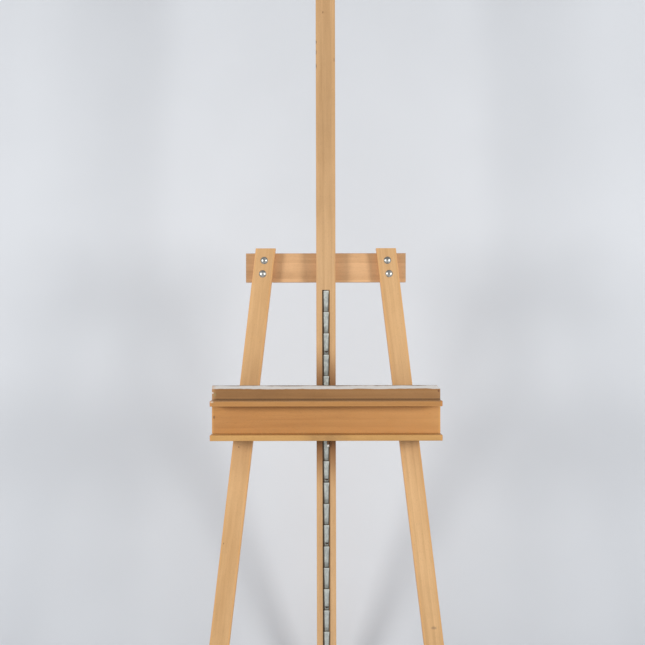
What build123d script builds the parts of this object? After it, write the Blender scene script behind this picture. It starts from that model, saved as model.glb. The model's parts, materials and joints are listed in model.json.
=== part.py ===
from build123d import *
import os
from math import cos, radians, sin, tan

# A beech studio easel. Two splayed front legs and a mast are bolted to two crossbars and lean back
# on one hinged rear leg. A two-shelf tray runs on the mast and hangs on a cast steel ratchet rack,
# and a canvas holder slides on the mast's upper end and is locked by a knob.
#
# The front frame and all it carries are modelled upright and leaned back at the end. Their axes are
# x to the painter's right, y to the back (0 on the back faces of the mast and front legs) and z up
# along the mast from the floor. The finished easel has +Z up and its origin on the floor, under the
# middle of the whole easel.

# ---- stance
LEAN = 5.5
REAR_LEG_ANGLE = 21.0
FOOT_HEIGHT = 6.0
EDGE_ROUND = 1.5
FIT = 0.05
RUNNING_FIT = 0.06
LENGTH_BEFORE_CUTTING = 1.2

# ---- front frame
MAST_WIDTH = 46.0
MAST_DEPTH = 35.0
MAST_BOTTOM = 205.0
MAST_TOP = 2130.0
MAST_TOP_CHAMFER = 1.0
LEG_WIDTH = 47.0
LEG_DEPTH = 25.0
LEG_SPLAY = 6.8
LEG_OFFSET_AT_FLOOR = 304.0
LEG_TOP = 1342.0
CROSSBAR_DEPTH = 22.0
FRONT_PAD_WIDTH = 40.0
FRONT_PAD_DEPTH = 19.0
PAD_CORNER = 4.0
UPPER_BAR_MIDDLE = 1297.0
UPPER_BAR_HEIGHT = 70.0
UPPER_BAR_LENGTH = 386.0
LOWER_BAR_MIDDLE = 280.0
LOWER_BAR_HEIGHT = 60.0
LOWER_BAR_LENGTH = 622.0

# ---- ratchet rack, cast in sections of three teeth
TOOTH_PITCH = 50.8
TEETH_PER_SECTION = 3
SECTION_COUNT = 6
RACK_BOTTOM = 325.5
GROOVE_WIDTH = 18.0
GROOVE_DEPTH = 8.0
GROOVE_END_GAP = 2.0
RACK_BASE_WIDTH = 17.4
RACK_BASE_DEPTH = 3.0
TEETH_RIGHT_OF_MIDDLE = 0.8
TOOTH_TOP_WIDTH = 14.6
TOOTH_TOP_DEPTH = 4.0
TOOTH_FOOT_WIDTH = 10.4
TOOTH_FOOT_DEPTH = 0.4
TOOTH_BEVEL = 1.8
TOOTH_BEVEL_SHARE = 0.8
TOOTH_SHOULDER_RADIUS = 3.0
RACK_SCREW_ABOVE_LEDGE = 9.0
RACK_SCREW_LENGTH = 16.0

# ---- tray
TRAY_LENGTH = 538.0
TRAY_BOTTOM = 890.0
TRAY_TO_MAST_GAP = 9.0
APRON_DEPTH = 18.0
APRON_HEIGHT = 66.0
SHELF_REACH = 50.0
TOP_SHELF_THICKNESS = 12.7
BOTTOM_SHELF_THICKNESS = 13.5
SHELF_CORNER_RADIUS = 3.0
BACK_RAIL_HEIGHT = 33.0
RAIL_HOUSING_DEPTH = 2.0
RAIL_BEVEL_HEIGHT = 8.0
RAIL_BEVEL_DEPTH = 6.0
RAIL_CLIP_WIDTH = 7.0
RAIL_CLIP_HEIGHT = 8.0
SHELF_SCREW_SPREAD = 113.4
SHELF_SCREW_STEPS = (-2, -1, 1, 2)
SHELF_SCREW_LENGTH = 36.0
ENGAGED_TOOTH = 12

# ---- carriages that ride on the mast
SIDE_PLAY = 0.8
BACK_PLAY = 1.0
RUNNER_PLAY = 1.0
RUNNER_INNER_EDGE = 10.5
TRAY_CHEEK_THICKNESS = 16.0
TRAY_CHEEK_HEIGHT = 106.0
TRAY_CHEEK_ABOVE_BOTTOM = 7.0
TRAY_KEEPER_DEPTH = 12.0
TRAY_KEEPER_HEIGHT = 60.0
CARRIAGE_SCREW_SPREAD = 36.0
CARRIAGE_SCREW_GRIP = 18.0
CARRIAGE_HOLE_DEPTH = 22.0

# ---- pawl
PAWL_PIVOT_ABOVE_LEDGE = 39.9
PAWL_PIVOT_Y = -40.0
PAWL_BOSS_RADIUS = 3.6
PAWL_PIN_RADIUS = 2.0
PAWL_PIN_IN_CHEEK = 3.5
PAWL_WIDTH = 11.0
PAWL_ARM_FRONT = 1.5
PAWL_ARM_BACK = 2.5
PAWL_ARM_BELOW_FOOT = 12.0
PAWL_FOOT_IN_GROOVE = 4.0
PAWL_FOOT_SLOPE = 0.6
PAWL_FOOT_HEIGHT = 8.5
PAWL_FOOT_TAPER = 1.5
PAWL_NECK_HEIGHT = 15.0
PAWL_TAIL_WIDTH = 5.0
PAWL_TAIL_SIDE = 4.5
PAWL_TAIL_BELOW_TRAY = 22.0
PAWL_TAIL_ROUND = 1.4
PAWL_LEDGE_GAP = 0.1
PAWL_POCKET_HALF_WIDTH = 8.5
PAWL_POCKET_DEPTH = 12.0
SPRING_WIRE_RADIUS = 0.45
SPRING_RING_RADIUS = 3.0
SPRING_SIDE = 6.2
SPRING_TURNS = 3
SPRING_PITCH = 0.8
SPRING_END_RADIUS = 0.4
SPRING_END_LENGTH = 12.0

# ---- canvas holder
HOLDER_BOTTOM = 2010.0
HOLDER_WIDTH = 140.0
HOLDER_HEIGHT = 60.0
HOLDER_DEPTH = 18.0
HOLDER_GAP = 2.0
HOLDER_LIP_REACH = 50.0
HOLDER_LIP_THICKNESS = 12.7
HOLDER_CHEEK_THICKNESS = 14.0
HOLDER_KEEPER_DEPTH = 16.0
KNOB_RADIUS = 15.0
KNOB_LOBE_RADIUS = 8.0
KNOB_LOBES = 5
KNOB_EDGE = 1.5
KNOB_THICKNESS = 14.0
KNOB_HUB_RADIUS = 10.0
KNOB_HUB_LENGTH = 6.0
KNOB_STAND_OFF = 1.5
PRESSURE_PAD_RADIUS = 8.0
PRESSURE_PAD_THICKNESS = 3.0
PRESSURE_PAD_GAP = 0.3
PRESSURE_PAD_PLAY = 0.5
STUD_PLAY = 0.4
INSERT_RADIUS = 6.0
INSERT_LENGTH = 12.0

# ---- rear leg and its hinge
REAR_LEG_WIDTH = 42.0
REAR_LEG_DEPTH = 28.0
REAR_LEG_ABOVE_PIVOT = 40.0
REAR_PAD_WIDTH = 36.0
REAR_PAD_DEPTH = 24.0
HINGE_PLATE_THICKNESS = 3.0
HINGE_PLATE_WIDTH = 104.0
HINGE_PLATE_HEIGHT = 44.0
HINGE_PLATE_CORNER = 6.0
HINGE_STAND_OFF = 24.0
HINGE_EAR_RADIUS = 18.0
HINGE_SIDE_GAP = 0.4
HEEL_GAP = 0.3
BUSH_RADIUS = 7.0
HINGE_SCREW_SIDE = 39.0
HINGE_SCREW_HEIGHT = 12.0
HINGE_SCREW_LENGTH = 18.0

# ---- fasteners
BOLT_RADIUS = 4.0
BOLT_HEAD_RADIUS = 9.0
BOLT_HEAD_HEIGHT = 4.2
BOLT_TAIL = 2.5
BOLT_SPREAD = 32.0
WASHER_RADIUS = 9.0
WASHER_THICKNESS = 1.6
NUT_RADIUS = 7.4
NUT_THICKNESS = 6.5
HEXAGON_CORNER_SHARE = 0.12
LAG_RADIUS = 3.0
LAG_DEPTH_IN_MAST = 22.0
LAG_SPREAD = 26.0
LAG_HEAD_RADIUS = 5.8
LAG_HEAD_HEIGHT = 4.0
UPPER_LAG_HEIGHT = 1269.0
SCREW_RADIUS = 2.2
SCREW_HEAD_RADIUS = 4.2
SCREW_HEAD_DEPTH = 2.4
SCREW_SLOT = 0.9
WING_HUB_RADIUS = 8.0
WING_HUB_TOP_RADIUS = 6.0
WING_HUB_LENGTH = 9.0
WING_LENGTH = 19.0
WING_SIDE = 10.5
WING_RISE = 8.5
WING_THICKNESS = 3.0
WING_HEIGHT = 15.0
WING_TILT = 18.0
WING_NUT_GAP = 0.3

# ---- worked out from the above
MAST_FRONT = -MAST_DEPTH
TRAY_BACK = MAST_FRONT - TRAY_TO_MAST_GAP
APRON_FRONT = TRAY_BACK - APRON_DEPTH
SHELF_FRONT = APRON_FRONT - SHELF_REACH
APRON_BOTTOM = TRAY_BOTTOM + BOTTOM_SHELF_THICKNESS
APRON_TOP = APRON_BOTTOM + APRON_HEIGHT
SHELF_TOP = APRON_TOP + TOP_SHELF_THICKNESS
TRAY_CHEEK_BOTTOM = TRAY_BOTTOM + TRAY_CHEEK_ABOVE_BOTTOM
TRAY_CHEEK_TOP = TRAY_CHEEK_BOTTOM + TRAY_CHEEK_HEIGHT
CHEEK_INNER = MAST_WIDTH / 2 + SIDE_PLAY
TRAY_SCREW_SIDE = CHEEK_INNER + TRAY_CHEEK_THICKNESS / 2
TRAY_KEEPER_MIDDLE = TRAY_CHEEK_BOTTOM + TRAY_CHEEK_HEIGHT / 2
HOLDER_SCREW_SIDE = CHEEK_INNER + HOLDER_CHEEK_THICKNESS / 2
SECTION_LENGTH = TOOTH_PITCH * TEETH_PER_SECTION
RACK_TOP = RACK_BOTTOM + SECTION_LENGTH * SECTION_COUNT
ENGAGED_LEDGE = RACK_BOTTOM + TOOTH_PITCH * ENGAGED_TOOTH
PAWL_PIVOT_Z = ENGAGED_LEDGE + PAWL_PIVOT_ABOVE_LEDGE
HOLDER_BACK = MAST_FRONT - HOLDER_GAP
HOLDER_MIDDLE = HOLDER_BOTTOM + HOLDER_HEIGHT / 2
HINGE_Y = CROSSBAR_DEPTH + HINGE_PLATE_THICKNESS + HINGE_STAND_OFF
HINGE_EAR_INNER = REAR_LEG_WIDTH / 2 + HINGE_SIDE_GAP
HINGE_EAR_OUTER = HINGE_EAR_INNER + HINGE_PLATE_THICKNESS
HINGE_WORLD_Y = HINGE_Y * cos(radians(LEAN)) + UPPER_BAR_MIDDLE * sin(radians(LEAN))
HINGE_WORLD_Z = UPPER_BAR_MIDDLE * cos(radians(LEAN)) - HINGE_Y * sin(radians(LEAN))
REAR_FOOT_Y = HINGE_WORLD_Y + (HINGE_WORLD_Z - FOOT_HEIGHT) * tan(radians(REAR_LEG_ANGLE))
EASEL_FRONT = SHELF_FRONT * cos(radians(LEAN)) + TRAY_BOTTOM * sin(radians(LEAN))
EASEL_BACK = REAR_FOOT_Y + REAR_LEG_DEPTH / 2 / cos(radians(REAR_LEG_ANGLE))
CENTRE_SHIFT = -(EASEL_FRONT + EASEL_BACK) / 2

FRONT_FRAME = Location((0, CENTRE_SHIFT, 0), (-LEAN, 0, 0))
HINGE_PLACE = Location((0, HINGE_WORLD_Y + CENTRE_SHIFT, HINGE_WORLD_Z), (REAR_LEG_ANGLE, 0, 0))
FLOOR_CUT = 400.0
CLEAR = 1.0


# ---- plain shapes
def block(x0, x1, y0, y1, z0, z1):
    """A box between two corners."""
    middle = Pos((x0 + x1) / 2, (y0 + y1) / 2, (z0 + z1) / 2)
    return middle * Box(x1 - x0, y1 - y0, z1 - z0)


def board(x0, x1, y0, y1, z0, z1, along=Axis.X, radius=EDGE_ROUND):
    """A planed board with its long edges eased."""
    plain = block(x0, x1, y0, y1, z0, z1)
    return fillet(plain.edges().filter_by(along), radius)


def rod_x(radius, x0, x1, y, z):
    """A round rod along X."""
    return Pos((x0 + x1) / 2, y, z) * Rot(0, 90, 0) * Cylinder(radius, x1 - x0)


def rod_y(radius, y0, y1, x, z):
    """A round rod along Y."""
    return Pos(x, (y0 + y1) / 2, z) * Rot(90, 0, 0) * Cylinder(radius, y1 - y0)


def rubber_pad(x, y, width, depth):
    """A rubber foot standing on the floor, its corners rounded."""
    pad = block(x - width / 2, x + width / 2, y - depth / 2, y + depth / 2, 0, FOOT_HEIGHT)
    return fillet(pad.edges().filter_by(Axis.Z), PAD_CORNER)


def group(solids):
    """Separate solids kept together in one node."""
    return Compound(children=[s.solid() for s in solids])


def facing_front(x, y, z):
    """Puts a fastener made along Z with its head towards the front."""
    return Location((x, y, z), (90, 0, 0))


def facing_back(x, y, z):
    """Puts a fastener made along Z with its head towards the back."""
    return Location((x, y, z), (-90, 0, 0))


# ---- fasteners, made with the head's outer face or underside at z = 0 and the shank below it
def wood_screw_blank(length, grow=0.0):
    """A countersunk screw's outline."""
    head = Pos(0, 0, -SCREW_HEAD_DEPTH / 2) * Cone(
        SCREW_RADIUS + grow, SCREW_HEAD_RADIUS + grow, SCREW_HEAD_DEPTH
    )
    return head + Pos(0, 0, -length / 2 - grow) * Cylinder(SCREW_RADIUS + grow, length)


def wood_screw(length):
    """A countersunk screw with a slot in its head."""
    return wood_screw_blank(length) - Box(3 * SCREW_HEAD_RADIUS, SCREW_SLOT, 2 * SCREW_SLOT)


def wood_screw_hole(length):
    """The hole for a screw of this length, a little deeper and wider than the screw."""
    return wood_screw_blank(length + 2 * CLEAR, FIT)


def dome(radius, height):
    """A low round head standing on z = 0."""
    ball = (radius**2 + height**2) / (2 * height)
    cap = Pos(0, 0, height - ball) * Sphere(ball)
    return cap & Pos(0, 0, height) * Box(2 * radius, 2 * radius, 2 * height)


def coach_bolt(length):
    """A dome-headed bolt."""
    return dome(BOLT_HEAD_RADIUS, BOLT_HEAD_HEIGHT) + Pos(0, 0, -length / 2) * Cylinder(BOLT_RADIUS, length)


def washer():
    ring = Cylinder(WASHER_RADIUS, WASHER_THICKNESS) - Cylinder(BOLT_RADIUS + FIT, 2 * WASHER_THICKNESS)
    return Pos(0, 0, WASHER_THICKNESS / 2) * ring


def hexagon(radius, thickness):
    """A six-sided head standing on z = 0, with its outer corners turned down."""
    prism = extrude(RegularPolygon(radius, 6), thickness)
    turned = chamfer(Cylinder(radius, 2 * thickness).edges(), HEXAGON_CORNER_SHARE * radius)
    return prism & turned


def nut():
    return hexagon(NUT_RADIUS, NUT_THICKNESS) - Cylinder(BOLT_RADIUS + FIT, 3 * NUT_THICKNESS)


def lag_screw():
    """A hexagon-headed screw through a crossbar into the mast."""
    length = CROSSBAR_DEPTH + LAG_DEPTH_IN_MAST
    return hexagon(LAG_HEAD_RADIUS, LAG_HEAD_HEIGHT) + Pos(0, 0, -length / 2) * Cylinder(LAG_RADIUS, length)


# ---- front frame
def leg_centre(z):
    """How far a front leg's middle stands from the mast's middle at a height along the mast."""
    return LEG_OFFSET_AT_FLOOR - z * tan(radians(LEG_SPLAY))


def leg_bolt_places():
    """The middle of each bolt that holds a leg to a crossbar."""
    middles = (LOWER_BAR_MIDDLE, UPPER_BAR_MIDDLE)
    heights = [middle + step * BOLT_SPREAD / 2 for middle in middles for step in (-1, 1)]
    return [(side * leg_centre(height), height) for side in (-1, 1) for height in heights]


def lag_places():
    """The middle of each screw that holds the mast to a crossbar; the upper pair is below the hinge plate."""
    return [(side * LAG_SPREAD / 2, z) for z in (LOWER_BAR_MIDDLE, UPPER_LAG_HEIGHT) for side in (-1, 1)]


def below_floor(height):
    """All the space lower than a height above the floor, in the front frame's axes."""
    slab = block(-FLOOR_CUT, FLOOR_CUT, -FLOOR_CUT, FLOOR_CUT, height - FLOOR_CUT, height)
    return Rot(LEAN, 0, 0) * slab


def front_leg(side):
    """One front leg: side is -1 on the left and 1 on the right."""
    length = LEG_TOP * LENGTH_BEFORE_CUTTING
    bar = board(-LEG_WIDTH / 2, LEG_WIDTH / 2, -LEG_DEPTH, 0, -LEG_WIDTH, length, Axis.Z)
    leg = Location((side * LEG_OFFSET_AT_FLOOR, 0, 0), (0, -side * LEG_SPLAY, 0)) * bar
    leg -= block(-FLOOR_CUT, FLOOR_CUT, -FLOOR_CUT, FLOOR_CUT, LEG_TOP, LEG_TOP + FLOOR_CUT)
    leg -= below_floor(FOOT_HEIGHT)
    for x, z in leg_bolt_places():
        leg -= rod_y(BOLT_RADIUS + FIT, -LEG_DEPTH - CLEAR, CLEAR, x, z)
    return leg


def front_foot(side):
    """A rubber pad under a front leg, already on the floor."""
    return rubber_pad(side * leg_centre(0), CENTRE_SHIFT - LEG_DEPTH / 2, FRONT_PAD_WIDTH, FRONT_PAD_DEPTH)


def crossbar(length, middle, height):
    """A crossbar behind the legs and mast, bored for every bolt and screw that meets it."""
    bar = board(-length / 2, length / 2, 0, CROSSBAR_DEPTH, middle - height / 2, middle + height / 2)
    for x, z in leg_bolt_places():
        if abs(z - middle) < height / 2:
            bar -= rod_y(BOLT_RADIUS + FIT, -CLEAR, CROSSBAR_DEPTH + CLEAR, x, z)
    for x, z in lag_places():
        if abs(z - middle) < height / 2:
            bar -= rod_y(LAG_RADIUS + FIT, -CLEAR, CROSSBAR_DEPTH + CLEAR, x, z)
    return bar


def upper_crossbar():
    bar = crossbar(UPPER_BAR_LENGTH, UPPER_BAR_MIDDLE, UPPER_BAR_HEIGHT)
    for x, z in hinge_screw_places():
        bar -= facing_back(x, CROSSBAR_DEPTH, z) * wood_screw_hole(HINGE_SCREW_LENGTH)
    return bar


def mast():
    """The mast with its rack groove, screw holes and eased top."""
    half = MAST_WIDTH / 2
    post = board(-half, half, MAST_FRONT, 0, MAST_BOTTOM, MAST_TOP, Axis.Z)
    post = chamfer(post.faces().sort_by(Axis.Z)[-1].edges(), MAST_TOP_CHAMFER)
    post -= block(
        -GROOVE_WIDTH / 2, GROOVE_WIDTH / 2, MAST_FRONT - CLEAR, MAST_FRONT + GROOVE_DEPTH,
        RACK_BOTTOM - GROOVE_END_GAP, RACK_TOP + GROOVE_END_GAP,
    )
    for x, z in lag_places():
        post -= rod_y(LAG_RADIUS + FIT, -LAG_DEPTH_IN_MAST - CLEAR, CLEAR, x, z)
    for place in rack_screw_places():
        post -= place * wood_screw_hole(RACK_SCREW_LENGTH)
    return post


# ---- ratchet rack
def rack_face(height):
    """How far back a tooth's ramp lies at a height above the ledge that it starts from."""
    base = MAST_FRONT + GROOVE_DEPTH - RACK_BASE_DEPTH
    rise = TOOTH_FOOT_DEPTH + (TOOTH_TOP_DEPTH - TOOTH_FOOT_DEPTH) * height / TOOTH_PITCH
    return base - rise


def rack_screw_places():
    """Each section's screw, its head flush with the lowest tooth's ramp."""
    y = rack_face(RACK_SCREW_ABOVE_LEDGE)
    low = RACK_BOTTOM + RACK_SCREW_ABOVE_LEDGE
    return [facing_front(TEETH_RIGHT_OF_MIDDLE, y, low + i * SECTION_LENGTH) for i in range(SECTION_COUNT)]


def tooth_section(width, depth, z):
    """A tooth's outline at one height: wide on the base, its front corners bevelled."""
    base = MAST_FRONT + GROOVE_DEPTH - RACK_BASE_DEPTH
    bevel = min(TOOTH_BEVEL, TOOTH_BEVEL_SHARE * depth)
    half = width / 2
    outline = Polyline(
        (-half, 0), (half, 0), (half, bevel - depth), (half - bevel, -depth),
        (bevel - half, -depth), (-half, bevel - depth), close=True,
    )
    level = Plane(origin=(TEETH_RIGHT_OF_MIDDLE, base, z), x_dir=(1, 0, 0), z_dir=(0, 0, 1))
    return level * make_face(outline)


def tooth(foot):
    """One ramped tooth with round shoulders at its top."""
    ramp = loft([
        tooth_section(TOOTH_FOOT_WIDTH, TOOTH_FOOT_DEPTH, foot),
        tooth_section(TOOTH_TOP_WIDTH, TOOTH_TOP_DEPTH, foot + TOOTH_PITCH),
    ])
    room = block(
        TEETH_RIGHT_OF_MIDDLE - TOOTH_TOP_WIDTH / 2, TEETH_RIGHT_OF_MIDDLE + TOOTH_TOP_WIDTH / 2,
        MAST_FRONT, MAST_FRONT + GROOVE_DEPTH, foot, foot + TOOTH_PITCH,
    )
    return ramp & fillet(room.edges().filter_by(Axis.Y).group_by(Axis.Z)[-1], TOOTH_SHOULDER_RADIUS)


def rack_section(bottom, screw_place):
    """Three ramped teeth on a flat strip: each is proud at its top, where the pawl rests."""
    back = MAST_FRONT + GROOVE_DEPTH
    half = RACK_BASE_WIDTH / 2
    section = block(-half, half, back - RACK_BASE_DEPTH, back, bottom, bottom + SECTION_LENGTH)
    for i in range(TEETH_PER_SECTION):
        section += tooth(bottom + i * TOOTH_PITCH)
    return section - screw_place * wood_screw_hole(RACK_SCREW_LENGTH)


def ratchet_rack():
    places = rack_screw_places()
    return group(rack_section(RACK_BOTTOM + i * SECTION_LENGTH, places[i]) for i in range(SECTION_COUNT))


def rack_screws():
    return group(place * wood_screw(RACK_SCREW_LENGTH) for place in rack_screw_places())


# ---- frame fasteners
def leg_bolts():
    length = LEG_DEPTH + CROSSBAR_DEPTH + WASHER_THICKNESS + NUT_THICKNESS + BOLT_TAIL
    return group(facing_front(x, -LEG_DEPTH, z) * coach_bolt(length) for x, z in leg_bolt_places())


def leg_bolt_washers():
    return group(facing_back(x, CROSSBAR_DEPTH, z) * washer() for x, z in leg_bolt_places())


def leg_bolt_nuts():
    y = CROSSBAR_DEPTH + WASHER_THICKNESS
    return group(facing_back(x, y, z) * nut() for x, z in leg_bolt_places())


def mast_screws():
    return group(facing_back(x, CROSSBAR_DEPTH, z) * lag_screw() for x, z in lag_places())


# ---- rear-leg hinge
def hinge_screw_places():
    sides = (-HINGE_SCREW_SIDE, HINGE_SCREW_SIDE)
    rises = (-HINGE_SCREW_HEIGHT, HINGE_SCREW_HEIGHT)
    return [(x, UPPER_BAR_MIDDLE + rise) for x in sides for rise in rises]


def hinge_bracket():
    """A steel plate with two round-ended ears that hold the rear leg's bolt."""
    back = CROSSBAR_DEPTH + HINGE_PLATE_THICKNESS
    half = HINGE_PLATE_HEIGHT / 2
    plate = block(
        -HINGE_PLATE_WIDTH / 2, HINGE_PLATE_WIDTH / 2, CROSSBAR_DEPTH, back,
        UPPER_BAR_MIDDLE - half, UPPER_BAR_MIDDLE + half,
    )
    bracket = fillet(plate.edges().filter_by(Axis.Y), HINGE_PLATE_CORNER)
    low = UPPER_BAR_MIDDLE - HINGE_EAR_RADIUS
    high = UPPER_BAR_MIDDLE + HINGE_EAR_RADIUS
    for x0, x1 in ((-HINGE_EAR_OUTER, -HINGE_EAR_INNER), (HINGE_EAR_INNER, HINGE_EAR_OUTER)):
        bracket += block(x0, x1, back, HINGE_Y, low, high)
        bracket += rod_x(HINGE_EAR_RADIUS, x0, x1, HINGE_Y, UPPER_BAR_MIDDLE)
    reach = HINGE_EAR_OUTER + CLEAR
    bracket -= rod_x(BOLT_RADIUS + FIT, -reach, reach, HINGE_Y, UPPER_BAR_MIDDLE)
    for x, z in hinge_screw_places():
        bracket -= facing_back(x, back, z) * wood_screw_hole(HINGE_SCREW_LENGTH)
    return bracket


def hinge_screws():
    y = CROSSBAR_DEPTH + HINGE_PLATE_THICKNESS
    return group(facing_back(x, y, z) * wood_screw(HINGE_SCREW_LENGTH) for x, z in hinge_screw_places())


def hinge_bolt():
    """The hinge bolt, its head on the left."""
    length = 2 * HINGE_EAR_OUTER + WASHER_THICKNESS + WING_HUB_LENGTH + 2 * BOLT_TAIL
    return Location((-HINGE_EAR_OUTER, HINGE_Y, UPPER_BAR_MIDDLE), (0, -90, 0)) * coach_bolt(length)


def hinge_washer():
    return Location((HINGE_EAR_OUTER, HINGE_Y, UPPER_BAR_MIDDLE), (0, 90, 0)) * washer()


def hinge_wing_nut():
    """A wing nut on the right end of the hinge bolt."""
    shape = Pos(0, 0, WING_HUB_LENGTH / 2) * Cone(WING_HUB_RADIUS, WING_HUB_TOP_RADIUS, WING_HUB_LENGTH)
    upright = Pos(0, WING_THICKNESS / 2, 0) * Rot(90, 0, 0)
    wing = upright * extrude(Ellipse(WING_LENGTH / 2, WING_HEIGHT / 2), WING_THICKNESS)
    for side in (-1, 1):
        shape = shape + Location((side * WING_SIDE, 0, WING_RISE), (0, side * WING_TILT, 0)) * wing
    shape = shape - Cylinder(BOLT_RADIUS + RUNNING_FIT, 4 * WING_HEIGHT)
    start = HINGE_EAR_OUTER + WASHER_THICKNESS + WING_NUT_GAP
    return Location((start, HINGE_Y, UPPER_BAR_MIDDLE), (0, 90, 0)) * shape


# ---- rear leg, with the hinge's axis along X through its own origin
def rear_leg():
    """The rear leg, hung from its bolt, with a heel that rests on the hinge plate when open."""
    half_width = REAR_LEG_WIDTH / 2
    half_depth = REAR_LEG_DEPTH / 2
    bottom = -LENGTH_BEFORE_CUTTING * HINGE_WORLD_Z
    leg = board(-half_width, half_width, -half_depth, half_depth, bottom, REAR_LEG_ABOVE_PIVOT, Axis.Z)
    across = half_width + CLEAR
    reach = HINGE_STAND_OFF - HEEL_GAP
    crossbar_side = block(-across, across, -FLOOR_CUT, -reach, -REAR_LEG_ABOVE_PIVOT, FLOOR_CUT)
    leg -= Rot(-LEAN - REAR_LEG_ANGLE, 0, 0) * crossbar_side
    leg -= rod_x(BUSH_RADIUS + FIT, -across, across, 0, 0)
    placed = HINGE_PLACE * leg
    return placed - block(-FLOOR_CUT, FLOOR_CUT, 0, 3 * FLOOR_CUT, -FLOOR_CUT, FOOT_HEIGHT)


def rear_leg_bush():
    """A steel sleeve pressed through the rear leg, running on the hinge bolt."""
    half = REAR_LEG_WIDTH / 2
    sleeve = rod_x(BUSH_RADIUS, -half, half, 0, 0)
    return HINGE_PLACE * (sleeve - rod_x(BOLT_RADIUS + RUNNING_FIT, -half - CLEAR, half + CLEAR, 0, 0))


def rear_foot():
    """A rubber pad under the rear leg, already on the floor."""
    return rubber_pad(0, REAR_FOOT_Y + CENTRE_SHIFT, REAR_PAD_WIDTH, REAR_PAD_DEPTH)


# ---- tray
def shelf_board(bottom, top):
    """A shelf with rounded front corners and eased upper and lower edges."""
    half = TRAY_LENGTH / 2
    plain = block(-half, half, SHELF_FRONT, TRAY_BACK, bottom, top)
    shelf = fillet(plain.edges().filter_by(Axis.Z).group_by(Axis.Y)[0], SHELF_CORNER_RADIUS)
    rims = shelf.faces().filter_by(Axis.Z).edges()
    return fillet(rims, EDGE_ROUND)


def tray_top_shelf():
    """The upper shelf, which the canvas stands on, housed behind for the back rail."""
    half = TRAY_LENGTH / 2
    return shelf_board(APRON_TOP, SHELF_TOP) - block(
        -half - CLEAR, half + CLEAR, APRON_FRONT, TRAY_BACK + CLEAR,
        SHELF_TOP - RAIL_HOUSING_DEPTH, SHELF_TOP + CLEAR,
    )


def tray_apron():
    """The upright board between the shelves, bored for the screws and pocketed behind for the pawl."""
    half = TRAY_LENGTH / 2
    apron = block(-half, half, APRON_FRONT, TRAY_BACK, APRON_BOTTOM, APRON_TOP)
    return bored_for_shelf_screws(apron) - pawl_pocket()


def tray_bottom_shelf():
    """The lower shelf, notched behind for the pawl's tail and bored for its screws."""
    return bored_for_shelf_screws(shelf_board(TRAY_BOTTOM, APRON_BOTTOM)) - pawl_pocket()


def pawl_pocket():
    """The room for the pawl behind the apron and through the lower shelf."""
    top = min(PAWL_PIVOT_Z + 2 * PAWL_BOSS_RADIUS, APRON_TOP + CLEAR)
    return block(
        -PAWL_POCKET_HALF_WIDTH, PAWL_POCKET_HALF_WIDTH, TRAY_BACK - PAWL_POCKET_DEPTH, TRAY_BACK + CLEAR,
        TRAY_BOTTOM - CLEAR, top,
    )


def shelf_screw_places():
    """The screws up through the lower shelf into the apron."""
    y = (APRON_FRONT + TRAY_BACK) / 2
    return [Location((step * SHELF_SCREW_SPREAD, y, TRAY_BOTTOM), (180, 0, 0)) for step in SHELF_SCREW_STEPS]


def bored_for_shelf_screws(part):
    for place in shelf_screw_places():
        part -= place * wood_screw_hole(SHELF_SCREW_LENGTH)
    return part


def tray_shelf_screws():
    return group(place * wood_screw(SHELF_SCREW_LENGTH) for place in shelf_screw_places())


def tray_back_rail():
    """The rail behind the canvas: its top front edge slopes and its top right corner is clipped off."""
    half = TRAY_LENGTH / 2
    foot = SHELF_TOP - RAIL_HOUSING_DEPTH
    top = SHELF_TOP + BACK_RAIL_HEIGHT
    outline = Polyline(
        (APRON_FRONT, foot), (TRAY_BACK, foot), (TRAY_BACK, top),
        (APRON_FRONT + RAIL_BEVEL_DEPTH, top), (APRON_FRONT, top - RAIL_BEVEL_HEIGHT), close=True,
    )
    side = Plane(origin=(-half, 0, 0), x_dir=(0, 1, 0), z_dir=(1, 0, 0))
    rail = extrude(side * make_face(outline), TRAY_LENGTH)
    corner = Polyline(
        (half - RAIL_CLIP_WIDTH, top), (half, top - RAIL_CLIP_HEIGHT), (half + CLEAR, top + CLEAR), close=True
    )
    front = Plane(origin=(0, TRAY_BACK + CLEAR, 0), x_dir=(1, 0, 0), z_dir=(0, -1, 0))
    return rail - extrude(front * make_face(corner), 2 * APRON_DEPTH)


# ---- carriages: two cheeks beside the mast and a keeper behind it
def cheek(side, thickness, y0, bottom, top, screw_middle, screw_side):
    """A cheek with the blind holes of its two keeper screws."""
    inner = side * CHEEK_INNER
    outer = side * (CHEEK_INNER + thickness)
    x0, x1 = sorted((inner, outer))
    shape = board(x0, x1, y0, BACK_PLAY, bottom, top, Axis.Y)
    for step in (-1, 1):
        z = screw_middle + step * CARRIAGE_SCREW_SPREAD / 2
        deepest = BACK_PLAY - CARRIAGE_HOLE_DEPTH
        shape -= rod_y(SCREW_RADIUS + FIT, deepest, BACK_PLAY + CLEAR, side * screw_side, z)
    return shape


def keeper(half_width, depth, bottom, top, screw_middle, screw_side):
    """The bar behind the mast, countersunk for its four screws."""
    bar = board(-half_width, half_width, BACK_PLAY, BACK_PLAY + depth, bottom, top)
    for place in keeper_screw_places(screw_side, depth, screw_middle):
        bar -= place * wood_screw_hole(depth)
    return bar


def keeper_screw_places(screw_side, depth, middle):
    rise = CARRIAGE_SCREW_SPREAD / 2
    corners = [(side * screw_side, middle + step * rise) for side in (-1, 1) for step in (-1, 1)]
    return [facing_back(x, BACK_PLAY + depth, z) for x, z in corners]


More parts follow.
